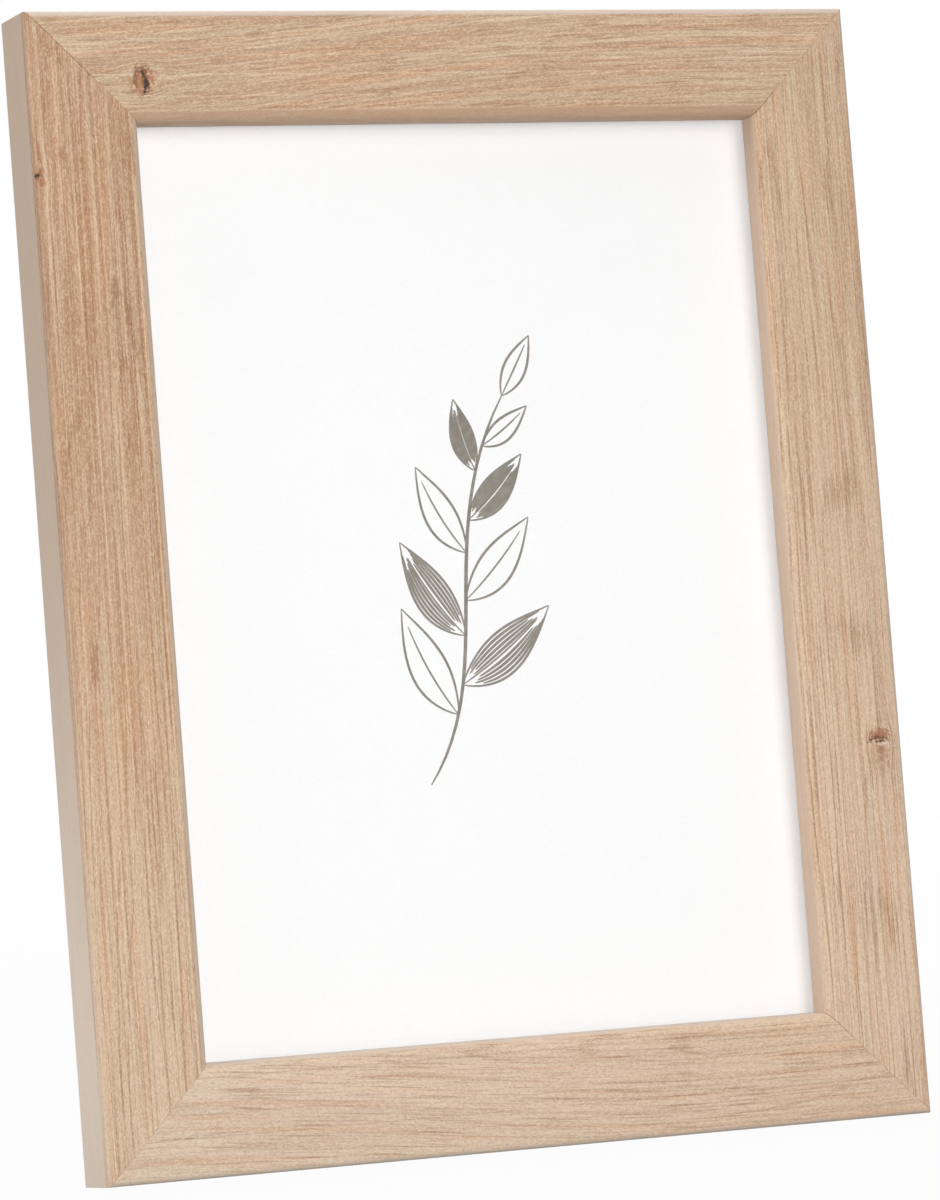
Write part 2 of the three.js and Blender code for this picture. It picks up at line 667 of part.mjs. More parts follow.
const leaning = new THREE.Group();
leaning.add(...SIDES.map(frameSide), ...CORNERS.map(cornerNails));
leaning.add(piece('glass_pane', sheet(GLASS_FRONT, GLASS_THICKNESS), GLASS));
leaning.add(piece('picture_insert', sheet(INSERT_FRONT, INSERT_THICKNESS), PAPER));
leaning.add(piece('filler_card', sheet(FILLER_FRONT, FILLER_THICKNESS), CARD));
leaning.add(piece('back_panel', backPanel(), HARDBOARD));
leaning.add(hingeAssembly(), hangerAssembly());
leaning.rotation.x = -LEAN;

// Stand the frame on z = 0 with the origin under the middle of its footprint
const reach = new THREE.Box3().setFromObject(leaning, true);
leaning.position.y = -(reach.min.y + reach.max.y) / 2;
leaning.position.z = MOULDING_BACK * Math.sin(LEAN);

const pictureFrame = new THREE.Group();
pictureFrame.name = 'picture_frame';
pictureFrame.add(leaning);

export default pictureFrame;
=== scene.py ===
"""Looks for a leaning wooden picture frame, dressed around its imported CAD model.

Metres, +Z up, the picture faces -Y. Sizes below are in millimetres and carry over from the part's source.
"""
import json
import math

import bmesh
import bpy
from mathutils import Matrix, Vector


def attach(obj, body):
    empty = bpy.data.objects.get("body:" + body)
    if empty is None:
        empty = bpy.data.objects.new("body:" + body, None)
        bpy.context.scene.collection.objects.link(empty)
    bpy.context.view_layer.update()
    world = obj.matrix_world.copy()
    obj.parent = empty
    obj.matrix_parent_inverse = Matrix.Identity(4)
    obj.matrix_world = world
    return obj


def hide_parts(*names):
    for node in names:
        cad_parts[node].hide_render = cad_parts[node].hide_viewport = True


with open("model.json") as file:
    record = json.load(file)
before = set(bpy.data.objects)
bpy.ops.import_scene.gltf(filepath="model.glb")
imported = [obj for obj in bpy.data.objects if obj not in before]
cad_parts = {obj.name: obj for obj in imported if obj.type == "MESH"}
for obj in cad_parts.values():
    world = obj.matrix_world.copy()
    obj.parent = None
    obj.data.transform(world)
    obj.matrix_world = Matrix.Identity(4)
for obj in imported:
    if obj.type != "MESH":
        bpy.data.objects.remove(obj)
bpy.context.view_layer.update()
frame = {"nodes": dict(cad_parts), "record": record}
nodes = frame["nodes"]

MM = 0.001

# How the frame stands: it leans back, and this is where its bottom front edge lies
LEAN = math.radians(11)
FOOT_Y = -34.79188
FOOT_Z = 2.671326
LEANING = Matrix.Translation((0, FOOT_Y * MM, FOOT_Z * MM)) @ Matrix.Rotation(-LEAN, 4, "X")

# Moulding and the sheet behind the pane
FRAME_WIDTH = 180
FRAME_HEIGHT = 230
FACE_WIDTH = 22.4
LIP_DEPTH = 5.7
MOULDING_BACK = 14
OUTER_ARRIS = 1.2
SIGHT_ARRIS = 2.5
REBATE_INSET = 14.5
INSERT_FRONT = 8.2

# Wire ring of the wall hanger
RING_WIDTH = 17
RING_HEIGHT = 17
RING_CORNER = 2.6
RING_END_GAP = 0.6
WIRE_RADIUS = 0.8

# Camera, fitted to the edges of the frame in the photograph of 940 by 1200 pixels
CAMERA_AZIMUTH = math.radians(-23.8127)
CAMERA_ELEVATION = math.radians(6.3729)
CAMERA_DISTANCE = 1155.32
CAMERA_TARGET = (1.3247, 0, 109.2247)
CAMERA_LENS = 170.75
SENSOR_WIDTH = 36


def linear(code):
    """An sRGB hex colour as linear red, green, blue and alpha."""
    channels = [int(code[i:i + 2], 16) / 255 for i in (1, 3, 5)]
    return [c / 12.92 if c <= 0.04045 else ((c + 0.055) / 1.055) ** 2.4 for c in channels] + [1.0]


def add(tree, kind, inputs=None, out=0, **settings):
    """Add a node, set or link its inputs, and give back one of its outputs."""
    node = tree.nodes.new(kind)
    for name, value in settings.items():
        setattr(node, name, value)
    for key, value in (inputs or {}).items():
        if isinstance(value, bpy.types.NodeSocket):
            tree.links.new(value, node.inputs[key])
        else:
            node.inputs[key].default_value = value
    return node.outputs[out] if len(node.outputs) else node


def new_material(name):
    """An empty material and its node tree."""
    material = bpy.data.materials.new(name)
    material.use_nodes = True
    material.node_tree.nodes.clear()
    return material, material.node_tree


def stretch(tree, place, length, width, seed):
    """A place measured in steps of a length along the grain and a width across it, in millimetres."""
    scale = (1 / (length * MM), 1 / (width * MM), 1 / (width * MM))
    return add(tree, "ShaderNodeVectorMath", {0: place, 1: scale, 2: (seed, seed, seed)},
               operation="MULTIPLY_ADD")


def grain(tree, place, length, width, detail, seed):
    """Noise drawn out along the grain: its size along and across the grain in millimetres."""
    stretched = stretch(tree, place, length, width, seed)
    return add(tree, "ShaderNodeTexNoise", {"Vector": stretched, "Scale": 1.0, "Detail": detail})


def tint(tree, colour, share, marks):
    """Lay each mark's colour over what is under it, as its pattern runs from a clear to a full value."""
    for pattern, clear, full, amount, code in marks:
        cover = add(tree, "ShaderNodeMapRange", {0: pattern, 1: clear, 2: full, 3: 0.0, 4: amount},
                    interpolation_type="SMOOTHSTEP")
        cover = add(tree, "ShaderNodeMath", {0: cover, 1: share}, operation="MULTIPLY", use_clamp=True)
        colour = add(tree, "ShaderNodeMix", {0: cover, 6: colour, 7: linear(code)}, out=2, data_type="RGBA")
    return colour


# Oak-printed foil, pressed with a fine grain and wrapped over fibreboard. The eye gets a matt, warm tan with
# straight streaks along each member, a blush here and there, short dark pores, fine dark specks, pale specks
# of painted glint and a few knots.
OAK_PALE = "#e0c7a8"
OAK_BROWN = "#aa8567"
OAK_BLUSH = "#cd9870"
OAK_ASHEN = "#cab79f"
OAK_PORE = "#906b51"
# Pale specks of painted glint, where light would catch the pressed foil
PAINTED_GLINT = "#f0dfc8"
KNOT_RING = "#9f603e"
KNOT_HEART = "#ab8160"
KNOT_SHADE = "#7a5239"
KNOT_SLIT = "#3b2a22"
KNOT_CRACK = "#4d3024"
KNOT_SHINE = "#e4d5c5"
RAW_FIBREBOARD = "#b3946f"
PALE_FIBREBOARD = "#c9a988"

# Each side as the bottom rail turned about the frame's centre. The ground is the foil's tone at its two
# ends, with painted light from below in it: lighter towards the bottom of the frame, most along the stiles.
# The contrast is the strength of its marks there. They change between two places along the member.
# The brown is the colour of its darker marks, and the dash is how long they are beside the usual. The edge is
# how much painted shade darkens its outer arris. The sweep is how far the grain climbs from the outer edge,
# and between which places along the member. The folds are where the print gives way to plain foil at the
# outer edge and the sight edge: 0 is the middle of the rounded edge, and more is further round. The sheen
# and shade colours are the plain foil's on the outer side and at the sight edge, with painted light in them:
# painted sheen greying the outer side, a painted highlight on the top arris and the bottom sight arris, and
# painted shade on the top lip. A knot has a place along the member and in from its outer edge, a reach in
# which it parts the grain, and spots, each with an offset, half sizes along, deep and in, a tilt in degrees,
# an amount and a colour.
SIDES = {
    "bottom_rail": {
        "turn": 0, "span": FRAME_HEIGHT, "seed": 3,
        "ground": ("#dac5b0", "#dabea5"), "contrast": (0.62, 0.78), "dash": 1.5, "sweep": (9, -100, 45),
        "folds": (-0.6, 0.2), "sheen_and_shade": ("#ccbcab", "#d6c5b6"),
    },
    "left_stile": {
        "turn": 90, "span": FRAME_WIDTH, "seed": 17,
        "ground": ("#b58e6e", "#d5bba0"), "contrast": (0.95, 0.84), "dash": 4.0, "sweep": (1, -115, 115),
        "folds": (2.4, -1.2), "sheen_and_shade": ("#c8b4a1", "#cbb8a6"),
        "brown": "#93633f", "change": (-60, 115), "edge": 0.28,
        "knot": {
            "place": (-82.4, 0.2), "reach": (9, 4), "spots": [
                ((0.9, 0.7), (1.7, 2.2, 1.1), 0, 0.3, KNOT_RING),
                ((0.1, -0.1), (0.8, 1.8, 1.0), 0, 0.5, KNOT_SHADE),
                ((0.0, -0.2), (0.5, 1.3, 0.75), 0, 1.0, KNOT_SLIT),
            ],
        },
    },
    "top_rail": {
        "turn": 180, "span": FRAME_HEIGHT, "seed": 31,
        "ground": ("#c1a083", "#bfa182"), "contrast": (0.98, 0.98), "dash": 1.0, "sweep": (-12, -60, 90),
        "folds": (-1.1, -2.2), "sheen_and_shade": ("#d1c2b6", "#b5957b"),
        "knot": {
            "place": (66.3, 13.9), "reach": (9, 6), "spots": [
                ((0.0, 0.0), (2.5, 3.5, 3.5), 4, 0.7, KNOT_RING),
                ((0.3, 0.6), (1.1, 3.0, 1.7), 0, 0.5, KNOT_HEART),
                ((1.6, -0.1), (0.55, 3.0, 2.3), 5, 0.7, KNOT_SHADE),
                ((0.0, -2.2), (1.7, 3.0, 0.8), 0, 0.7, KNOT_SHADE),
                ((-0.5, 0.2), (0.9, 3.0, 2.7), -6, 0.7, KNOT_SHADE),
                ((-0.2, -0.9), (0.42, 3.0, 1.7), -24, 0.85, KNOT_SLIT),
                ((-0.6, 0.4), (0.6, 3.0, 1.2), -4, 1.0, KNOT_SLIT),
                ((-0.5, 1.4), (0.5, 3.0, 1.6), 10, 1.0, KNOT_SLIT),
            ],
        },
    },
    "right_stile": {
        "turn": -90, "span": FRAME_WIDTH, "seed": 47,
        "ground": ("#dfc4ab", "#c9ab8e"), "contrast": (1.0, 1.0), "dash": 3.2, "sweep": (-2, -115, 115),
        "folds": (-0.6, 1.0), "sheen_and_shade": ("#ccbcab", "#d2b8a3"),
        "knot": {
            "place": (-38.0, 5.1), "reach": (8, 5), "spots": [
                ((1.2, 0.1), (1.8, 3.0, 2.9), 0, 0.6, KNOT_RING),
                ((-1.5, 0.0), (1.3, 3.0, 1.9), 0, 0.3, KNOT_RING),
                ((-3.1, -1.3), (0.7, 3.0, 0.6), 0, 0.45, KNOT_RING),
                ((-5.2, -1.5), (1.0, 3.0, 0.5), 0, 0.35, KNOT_RING),
                ((0.9, 0.5), (0.8, 3.0, 1.9), 0, 0.5, KNOT_SHADE),
                ((-0.55, -0.6), (0.36, 3.0, 1.5), -4, 0.6, KNOT_SHINE),
                ((0.4, 1.9), (0.3, 3.0, 1.3), -24, 0.85, KNOT_CRACK),
                ((0.7, -0.3), (0.24, 3.0, 1.3), 13, 0.75, KNOT_CRACK),
                ((-0.05, -0.2), (0.24, 3.0, 2.9), -3, 0.8, KNOT_CRACK),
            ],
        },
    },
}
USUAL_CHANGE = (-100, 100)
FOLD_SOFTNESS = 0.5
# Painted shade on the outer arris, from none 1.6 mm in from the outer edge to full 0.5 mm in
PAINTED_ARRIS_SHADE = (-1.6, -0.5)
KNOT_RIM = (2.4, 1.75)
FOIL_ON_BACK = 3
BACK_SKIN = 0.08
PRESS_SEED = 7
PRESS_DEPTH = 0.08


def member_place(turn, span):
    """Where a member's own axes lie: along it, back from its face, and in from its outer edge."""
    turned = Matrix.Translation((0, 0, FRAME_HEIGHT / 2 * MM)) @ Matrix.Rotation(math.radians(turn), 4, "Y")
    return LEANING @ turned @ Matrix.Translation((0, 0, -span / 2 * MM))


def oak_foil(name, turn, span, seed, ground, contrast, dash, sweep, folds, sheen_and_shade, brown=OAK_BROWN,
             change=USUAL_CHANGE, edge=0.0, knot=None):
    """The foil of one member, printed with its own grain. The words of SIDES say what each value is."""
    material, tree = new_material("oak_foil_" + name)
    place = member_place(turn, span)
    point = add(tree, "ShaderNodeTexCoord", out="Object")
    member = add(tree, "ShaderNodeMapping",
                 {"Vector": point, "Location": place.to_translation(), "Rotation": place.to_euler()},
                 vector_type="TEXTURE")
    along = add(tree, "ShaderNodeSeparateXYZ", {0: member})
    depth, inward = along.node.outputs[1], along.node.outputs[2]

    # The grain climbs along its sweep, wanders and shivers a little, and parts round a knot
    climb = add(tree, "ShaderNodeMapRange",
                {0: along, 1: sweep[1] * MM, 2: sweep[2] * MM, 3: 0.0, 4: sweep[0] * MM},
                interpolation_type="SMOOTHSTEP")
    course = add(tree, "ShaderNodeMath", {0: inward, 1: climb}, operation="ADD")
    for length, width, swing in [(110, 30, 3.0), (24, 5, 0.4)]:
        wander = grain(tree, member, length, width, 0.0, seed + length)
        course = add(tree, "ShaderNodeMath", {0: wander, 1: swing * MM, 2: course}, operation="MULTIPLY_ADD")
    if knot:
        heart_along, heart_in = knot["place"]
        reach_along, reach_in = knot["reach"]
        near = add(tree, "ShaderNodeMapping",
                   {"Vector": member, "Location": (heart_along * MM, 0, heart_in * MM),
                    "Scale": (reach_along * MM, 1, reach_in * MM)}, vector_type="TEXTURE")
        away = add(tree, "ShaderNodeVectorMath", {0: near}, out="Value", operation="LENGTH")
        parting = add(tree, "ShaderNodeMapRange", {0: away, 1: 0.1, 2: 1.0, 3: 0.65, 4: 0.0},
                      interpolation_type="SMOOTHSTEP")
        past_heart = add(tree, "ShaderNodeMath", {0: inward, 1: heart_in * MM}, operation="SUBTRACT")
        pull = add(tree, "ShaderNodeMath", {0: parting, 1: past_heart}, operation="MULTIPLY")
        course = add(tree, "ShaderNodeMath", {0: course, 1: pull}, operation="SUBTRACT")
    wood = add(tree, "ShaderNodeCombineXYZ", {0: along, 1: depth, 2: course})

    # The press leaves the same long lines on every length of foil, so they meet at the mitres
    lines = grain(tree, member, 900, 0.55, 1.0, PRESS_SEED)
    bands = grain(tree, wood, 140, 5, 1.0, seed + 1)
    streaks = grain(tree, wood, 55, 1.2, 1.5, seed + 2)
    threads = grain(tree, wood, 24 * dash, 0.5, 1.0, seed + 3)
    blush = grain(tree, wood, 45, 1.8, 1.0, seed + 10)
    # Fibres, pores and specks are nearer 0.1 mm wide, drawn wider so that they show
    fibres = grain(tree, wood, 2.2, 0.3, 1.0, seed + 4)
    pores = grain(tree, wood, 9 * dash, 0.36, 0.0, seed + 5)
    dots = stretch(tree, wood, 0.5, 0.2, seed + 6)
    specks = add(tree, "ShaderNodeTexVoronoi", {"Vector": dots, "Scale": 1.0}, out="Color")

    # Growth rings come to the face as thin broken lines, like the contours of a slope
    slope = grain(tree, wood, 120, 7, 0.0, seed + 9)
    slope = add(tree, "ShaderNodeMath", {0: slope, 1: 9.0}, operation="MULTIPLY")
    rings = add(tree, "ShaderNodeMath", {0: slope, 1: 0.5}, operation="PINGPONG")
    rings = add(tree, "ShaderNodeMath", {0: pores, 1: 0.5, 2: rings}, operation="MULTIPLY_ADD")

    # On the sides and round the sight edge the foil is plainer,
    # with painted sheen and painted shade in its colour there
    outer_turn = add(tree, "ShaderNodeMath", {0: depth, 1: inward}, operation="SUBTRACT")
    sight_turn = add(tree, "ShaderNodeMath", {0: depth, 1: inward}, operation="ADD")
    outer_side, sight_edge = [
        add(tree, "ShaderNodeMapRange",
            {0: turned, 1: (fold - FOLD_SOFTNESS) * MM, 2: (fold + FOLD_SOFTNESS) * MM},
            interpolation_type="SMOOTHSTEP")
        for turned, fold in ((outer_turn, folds[0]), (sight_turn, FACE_WIDTH + folds[1]))
    ]
    unprinted = add(tree, "ShaderNodeMath", {0: outer_side, 1: sight_edge}, operation="MAXIMUM")
    early, late = change[0] * MM, change[1] * MM
    strength = add(tree, "ShaderNodeMapRange", {0: along, 1: early, 2: late, 3: contrast[0], 4: contrast[1]})
    faded = add(tree, "ShaderNodeMapRange", {0: unprinted, 3: 1.0, 4: 0.6})
    share = add(tree, "ShaderNodeMath", {0: strength, 1: faded}, operation="MULTIPLY")

    # Painted light from below: each stile grows lighter towards its lower end
    colour = tint(tree, linear(ground[0]), 1.0, [(along, early, late, 1.0, ground[1])])
    colour = tint(tree, colour, share, [
        (bands, 0.52, 0.7, 0.25, OAK_PALE),
        (bands, 0.48, 0.3, 0.25, brown),
        (blush, 0.5, 0.7, 0.5, OAK_BLUSH),
        (blush, 0.48, 0.28, 0.45, OAK_ASHEN),
        (lines, 0.53, 0.7, 0.6, OAK_PALE),
        (lines, 0.47, 0.3, 0.6, brown),
        (streaks, 0.52, 0.72, 0.5, OAK_PALE),
        (streaks, 0.46, 0.28, 0.4, brown),
        (threads, 0.54, 0.72, 0.6, OAK_PALE),
        (threads, 0.46, 0.28, 0.6, brown),
        (rings, 0.36, 0.24, 0.6, brown),
        (fibres, 0.54, 0.74, 0.36, OAK_PALE),
        (fibres, 0.46, 0.26, 0.36, brown),
        (pores, 0.40, 0.26, 0.4, OAK_PORE),
    ])
    colour = tint(tree, colour, 1.0, [
        # Pale specks are painted glints of light on the pressed foil; dark specks are fine texture
        (specks, 0.5, 0.85, 0.25, PAINTED_GLINT),
        (specks, 0.5, 0.15, 0.2, OAK_PORE),
        # Painted shade darkens the rounded outer arris
        (outer_turn, PAINTED_ARRIS_SHADE[0] * MM, PAINTED_ARRIS_SHADE[1] * MM, edge, OAK_PORE),
    ])
    colour = tint(tree, colour, 1.0, [
        # Painted sheen greys the outer sides and lights the top arris; the sight edge carries painted light
        # and shade
        (outer_side, 0.0, 1.0, 0.75, sheen_and_shade[0]),
        (sight_edge, 0.0, 1.0, 0.7, sheen_and_shade[1]),
    ])

    relief = add(tree, "ShaderNodeMath", {0: threads, 1: 0.6, 2: pores}, operation="MULTIPLY_ADD")
    relief = add(tree, "ShaderNodeMath", {0: fibres, 1: 0.6, 2: relief}, operation="MULTIPLY_ADD")
    if knot:
        fray = grain(tree, wood, 0.6, 0.5, 2.0, seed + 7)
        for (off_along, off_in), (long, deep, wide), tilt, amount, code in knot["spots"]:
            middle = ((heart_along + off_along) * MM, 0, (heart_in + off_in) * MM)
            spot = add(tree, "ShaderNodeMapping",
                       {"Vector": member, "Location": middle, "Rotation": (0, math.radians(tilt), 0),
                        "Scale": (long * MM, deep * MM, wide * MM)}, vector_type="TEXTURE")
            away = add(tree, "ShaderNodeVectorMath", {0: spot}, out="Value", operation="LENGTH")
            rim = add(tree, "ShaderNodeMath", {0: fray, 1: 1.8, 2: away}, operation="MULTIPLY_ADD")
            rim = add(tree, "ShaderNodeMath", {0: specks, 1: 0.7, 2: rim}, operation="MULTIPLY_ADD")
            colour = tint(tree, colour, 1.0, [(rim, KNOT_RIM[0], KNOT_RIM[1], amount, code)])
        relief = add(tree, "ShaderNodeMath", {0: parting, 1: fray, 2: relief}, operation="MULTIPLY_ADD")

    # The foil turns round on to the back, and the rest of the back is bare fibreboard
    board = grain(tree, member, 0.8, 0.8, 3.0, seed + 8)
    bare_board = tint(tree, linear(RAW_FIBREBOARD), 1.0, [(board, 0.3, 0.7, 1.0, PALE_FIBREBOARD)])
    behind = add(tree, "ShaderNodeMath", {0: depth, 1: (MOULDING_BACK - BACK_SKIN) * MM},
                 operation="GREATER_THAN")
    past_foil = add(tree, "ShaderNodeMath", {0: inward, 1: FOIL_ON_BACK * MM}, operation="GREATER_THAN")
    bare = add(tree, "ShaderNodeMath", {0: behind, 1: past_foil}, operation="MULTIPLY")
    colour = add(tree, "ShaderNodeMix", {0: bare, 6: colour, 7: bare_board}, out=2, data_type="RGBA")
    roughness = add(tree, "ShaderNodeMapRange", {0: threads, 1: 0.3, 2: 0.7, 3: 0.44, 4: 0.58})
    pressed = add(tree, "ShaderNodeBump", {"Strength": 0.22, "Distance": PRESS_DEPTH * MM, "Height": relief})
    surface = add(tree, "ShaderNodeBsdfPrincipled",
                  {"Base Color": colour, "Roughness": roughness, "IOR": 1.5, "Normal": pressed})
    add(tree, "ShaderNodeOutputMaterial", {"Surface": surface})
    return material


# Corner wax, rubbed into a mitre: matt and tan like the foil, a little uneven.
def corner_wax():
    material, tree = new_material("corner_wax")
    point = add(tree, "ShaderNodeTexCoord", out="Object")
    smears = add(tree, "ShaderNodeTexNoise", {"Vector": point, "Scale": 1 / (1.5 * MM), "Detail": 2.0})
    colour = tint(tree, linear("#c19b78"), 1.0, [(smears, 0.35, 0.65, 1.0, "#cfae8c")])
    surface = add(tree, "ShaderNodeBsdfPrincipled", {"Base Color": colour, "Roughness": 0.55})
    add(tree, "ShaderNodeOutputMaterial", {"Surface": surface})
    return material


# Float glass, polished on both faces: clear, and lamps shine through it on to the sheet behind.
def float_glass():
    material, tree = new_material("float_glass")
    pane = add(tree, "ShaderNodeBsdfPrincipled",
               {"Base Color": linear("#ffffff"), "Roughness": 0.0, "IOR": 1.5, "Transmission Weight": 1.0})
    clear = add(tree, "ShaderNodeBsdfTransparent")
    path = add(tree, "ShaderNodeLightPath", out="Is Shadow Ray")
    through = add(tree, "ShaderNodeMath", {0: path, 1: path.node.outputs["Is Diffuse Ray"]},
                  operation="MAXIMUM")
    surface = add(tree, "ShaderNodeMixShader", {0: through, 1: pane, 2: clear})
    add(tree, "ShaderNodeOutputMaterial", {"Surface": surface})
    return material


# Coated printing paper: bright, even white with a soft tooth.
def coated_paper():
    material, tree = new_material("coated_paper")
    point = add(tree, "ShaderNodeTexCoord", out="Object")
    tooth = add(tree, "ShaderNodeTexNoise", {"Vector": point, "Scale": 1 / (0.5 * MM), "Detail": 2.0})
    colour = tint(tree, linear("#fcfcfc"), 1.0, [(tooth, 0.3, 0.7, 1.0, "#ffffff")])
    soft = add(tree, "ShaderNodeBump", {"Strength": 0.1, "Distance": 0.02 * MM, "Height": tooth})
    surface = add(tree, "ShaderNodeBsdfPrincipled", {"Base Color": colour, "Roughness": 0.7, "Normal": soft})
    add(tree, "ShaderNodeOutputMaterial", {"Surface": surface})
    return material


# Printing ink on paper: taupe, a little thinner here and there.
def taupe_ink():
    material, tree = new_material("taupe_ink")
    point = add(tree, "ShaderNodeTexCoord", out="Object")
    cover = add(tree, "ShaderNodeTexNoise", {"Vector": point, "Scale": 1 / (1.2 * MM), "Detail": 3.0})
    colour = tint(tree, linear("#7d7468"), 1.0, [(cover, 0.35, 0.7, 1.0, "#8d857a")])
    surface = add(tree, "ShaderNodeBsdfPrincipled", {"Base Color": colour, "Roughness": 0.75})
    add(tree, "ShaderNodeOutputMaterial", {"Surface": surface})
    return material


# Hardboard, hot-pressed wood fibre with its smooth side out: brown and satin, mottled with short fibres.
def hardboard():
    material, tree = new_material("hardboard")
    point = add(tree, "ShaderNodeTexCoord", out="Object")
    fibre_one = grain(tree, point, 3.0, 0.35, 2.0, 5)
    crossed = add(tree, "ShaderNodeVectorRotate",
                  {"Vector": point, "Axis": (0, 1, 0), "Angle": math.radians(70)})
    fibre_two = grain(tree, crossed, 2.4, 0.35, 2.0, 9)
    cloud = add(tree, "ShaderNodeTexNoise", {"Vector": point, "Scale": 1 / (9 * MM), "Detail": 3.0})
    colour = tint(tree, linear("#77543a"), 1.0, [
        (cloud, 0.35, 0.65, 1.0, "#856043"),
        (fibre_one, 0.54, 0.74, 0.7, "#a07a56"),
        (fibre_two, 0.46, 0.26, 0.7, "#543824"),
    ])
    fibres = add(tree, "ShaderNodeMath", {0: fibre_one, 1: fibre_two}, operation="ADD")
    pressed = add(tree, "ShaderNodeBump", {"Strength": 0.25, "Distance": 0.06 * MM, "Height": fibres})
    roughness = add(tree, "ShaderNodeMapRange", {0: fibre_two, 1: 0.3, 2: 0.7, 3: 0.45, 4: 0.62})
    surface = add(tree, "ShaderNodeBsdfPrincipled",
                  {"Base Color": colour, "Roughness": roughness, "Normal": pressed})
    add(tree, "ShaderNodeOutputMaterial", {"Surface": surface})
    return material


# Kraft card: brown, matt and flecked.
def kraft_card():
    material, tree = new_material("kraft_card")
    point = add(tree, "ShaderNodeTexCoord", out="Object")
    flecks = grain(tree, point, 1.5, 0.4, 3.0, 2)
    colour = tint(tree, linear("#a6835a"), 1.0, [(flecks, 0.35, 0.7, 1.0, "#bd9a6f")])
    surface = add(tree, "ShaderNodeBsdfPrincipled", {"Base Color": colour, "Roughness": 0.85})
    add(tree, "ShaderNodeOutputMaterial", {"Surface": surface})
    return material


# Zinc-plated steel, bright from the bath: cool grey with cloudy patches and faint rubbing marks.
def zinc_plated_steel():
    material, tree = new_material("zinc_plated_steel")
    point = add(tree, "ShaderNodeTexCoord", out="Object")
    patches = add(tree, "ShaderNodeTexNoise", {"Vector": point, "Scale": 1 / (2.5 * MM), "Detail": 3.0})
    rubs = grain(tree, point, 4.0, 0.25, 2.0, 4)
    colour = tint(tree, linear("#bfc3c7"), 1.0, [(patches, 0.3, 0.7, 1.0, "#d3d4d2")])
    cloudy = add(tree, "ShaderNodeMapRange", {0: patches, 1: 0.3, 2: 0.7, 3: 0.26, 4: 0.4})
    roughness = add(tree, "ShaderNodeMath", {0: rubs, 1: 0.1, 2: cloudy}, operation="MULTIPLY_ADD")
    worn = add(tree, "ShaderNodeBump", {"Strength": 0.12, "Distance": 0.03 * MM, "Height": rubs})
    surface = add(tree, "ShaderNodeBsdfPrincipled",
                  {"Base Color": colour, "Metallic": 1.0, "Roughness": roughness, "Normal": worn})
    add(tree, "ShaderNodeOutputMaterial", {"Surface": surface})
    return material


def dress(node, material):
    """Give a CAD node its finish."""
    slots = nodes[node].data.materials
    slots.clear()
    slots.append(material)


SMOOTH_ANGLE = math.radians(35)
EASE_ANGLE = math.radians(40)
EASE_STEPS = 3
WELD_REACH = 0.002


def round_shading():
    """Smooth over small turns of the surface, and keep the edges that turn further."""
    group = bpy.data.node_groups.new("round_shading", "GeometryNodeTree")
    group.interface.new_socket("Geometry", in_out="INPUT", socket_type="NodeSocketGeometry")
    group.interface.new_socket("Geometry", in_out="OUTPUT", socket_type="NodeSocketGeometry")
    shape = add(group, "NodeGroupInput")
    smooth = add(group, "GeometryNodeSetShadeSmooth", {"Geometry": shape}, domain="FACE")
    turn = add(group, "GeometryNodeInputMeshEdgeAngle")
    gentle = add(group, "FunctionNodeCompare", {0: turn, 1: SMOOTH_ANGLE}, operation="LESS_EQUAL")
    shaded = add(group, "GeometryNodeSetShadeSmooth", {"Geometry": smooth, "Shade Smooth": gentle},
                 domain="EDGE")
    add(group, "NodeGroupOutput", {0: shaded})
    return group


SHADING = round_shading()


def soften(piece, width):
    """Weld a piece's corners, ease its edges by a width in millimetres, and shade its rounds smooth."""
    weld = piece.modifiers.new("weld", "WELD")
    weld.merge_threshold = WELD_REACH * MM
    if width:
        ease = piece.modifiers.new("eased_edges", "BEVEL")
        ease.width = width * MM
        ease.segments = EASE_STEPS
        ease.limit_method = "ANGLE"
        ease.angle_limit = EASE_ANGLE
    piece.modifiers.new("round_shading", "NODES").node_group = SHADING


OAK = {name: oak_foil(name, **side) for name, side in SIDES.items()}
WAX = corner_wax()
GLASS = float_glass()
PAPER = coated_paper()
INK = taupe_ink()
HARDBOARD = hardboard()
CARD = kraft_card()
STEEL = zinc_plated_steel()

FINISHES = {"glass": GLASS, "paper": PAPER, "card": CARD, "hardboard": HARDBOARD, "steel": STEEL}
EASED = {"easel_strut": 0.4, "back_panel": 0.2, "hinge_back_leaf": 0.2, "hinge_strut_leaf": 0.2,
         "hanger_strap": 0.15, "hinge_pin": 0.25}
BUTTON_EASE = 0.2
HEAD_EASE = 0.12
for subpart in frame["record"]["subparts"]:
    name = subpart["node"]
    dress(name, OAK[name] if name in OAK else FINISHES[subpart["material_slot"]])
    ease = EASED.get(name, 0)
    if name.startswith("turn_button"):
        ease = BUTTON_EASE
    elif name.startswith("turn_screw") or "rivet" in name:
        ease = HEAD_EASE
    soften(nodes[name], ease)


def add_piece(name, points, faces, material, body="frame"):
    """A new closed piece from world points in metres, riding on a body."""
    mesh = bpy.data.meshes.new(name)
    mesh.from_pydata(points, [], faces)
    mesh.materials.append(material)
    shape = bmesh.new()
    shape.from_mesh(mesh)
    bmesh.ops.recalc_face_normals(shape, faces=shape.faces)
    shape.to_mesh(mesh)
    shape.free()
    piece = bpy.data.objects.new(name, mesh)
    bpy.context.collection.objects.link(piece)
    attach(piece, body)
    return piece


def leaning_point(x, y, z):
    """A place in the leaning frame, in millimetres, as a world point."""
    return LEANING @ Vector((x * MM, y * MM, z * MM))


# Corner wax closes the mitres. The outer part of the upper left one has opened a hair.
WAX_THICKNESS = 0.08
WAX_SINK = 0.05
ARC_STEPS = 8


